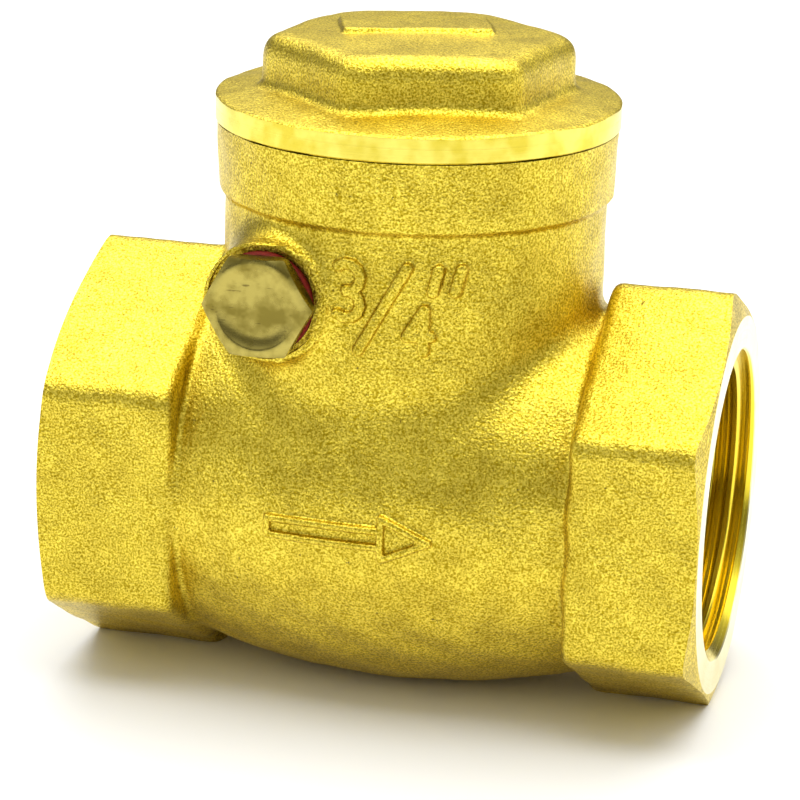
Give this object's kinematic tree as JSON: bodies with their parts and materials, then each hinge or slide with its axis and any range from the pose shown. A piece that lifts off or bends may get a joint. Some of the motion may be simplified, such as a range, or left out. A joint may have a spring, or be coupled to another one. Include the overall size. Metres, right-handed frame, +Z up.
{
  "type": "swing check valve",
  "caption": "Brass swing check valve with hexagon socket ends, a screwed hexagon bonnet cap, a side hinge plug and a hinged rubber-faced flap inside.",
  "frame": {"origin": "centre of the flat ground foot under the belly, straight below the point where the pipe axis meets the bonnet axis", "axes": "+X along the pipe from inlet to outlet, which is the direction of flow; +Z up through the bonnet cap; the side hinge plug faces -Y"},
  "size_m": [0.056, 0.036, 0.0561],
  "materials": {
    "cast_brass": "shot-blasted casting with machined sockets",
    "cap_brass": "shot-blasted casting with a turned rim",
    "arm_brass": "turned, satin",
    "plug_brass": "dull, scratched",
    "steel": "ground",
    "rubber": "matt",
    "gasket": "matt",
    "fibre": "pressed fibre"
  },
  "bodies": {
    "valve": {"body": "cast_brass", "hinge_pin": "steel"},
    "cap_seal": {"cap_gasket": "gasket"},
    "bonnet_cap": {"cap": "cap_brass"},
    "plug_seal": {"plug_washer": "fibre"},
    "side_plug": {"hinge_plug": "plug_brass"},
    "flap": {"swing_arm": "arm_brass"},
    "disc": {"disc_holder": "arm_brass", "disc_seal": "rubber", "seal_retainer": "arm_brass", "seal_screw": "plug_brass", "disc_washer": "steel", "disc_nut": "plug_brass"}
  },
  "joints": [
    {"name": "cap_lift", "type": "slide", "parent": "valve", "child": "cap_seal", "axis": [0, 0, 1], "range_m": [0, 0.00751]},
    {"name": "cap_turn", "type": "hinge", "parent": "cap_seal", "child": "bonnet_cap", "pos_m": [0, 0, 0.0482], "axis": [0, 0, 1], "range_deg": [0, 1800]},
    {"name": "plug_draw", "type": "slide", "parent": "valve", "child": "plug_seal", "axis": [0, -1, 0], "range_m": [0, 0.005]},
    {"name": "plug_turn", "type": "hinge", "parent": "plug_seal", "child": "side_plug", "pos_m": [-0.0084, -0.0164, 0.0357], "axis": [0, -1, 0], "range_deg": [0, 1800]},
    {"name": "flap_swing", "type": "hinge", "parent": "valve", "child": "flap", "pos_m": [-0.0084, 0, 0.0357], "axis": [0, -1, 0], "range_deg": [0, 55]},
    {"name": "disc_spin", "type": "hinge", "parent": "flap", "child": "disc", "pos_m": [-0.0045, 0, 0.0174], "axis": [1, 0, 0], "continuous": true}
  ],
  "couplings": [
    {"joint": "cap_lift", "follows": "cap_turn", "m_per_rad": 0.00023873},
    {"joint": "plug_turn", "follows": "plug_draw", "rad_per_m": 6283.2}
  ]
}
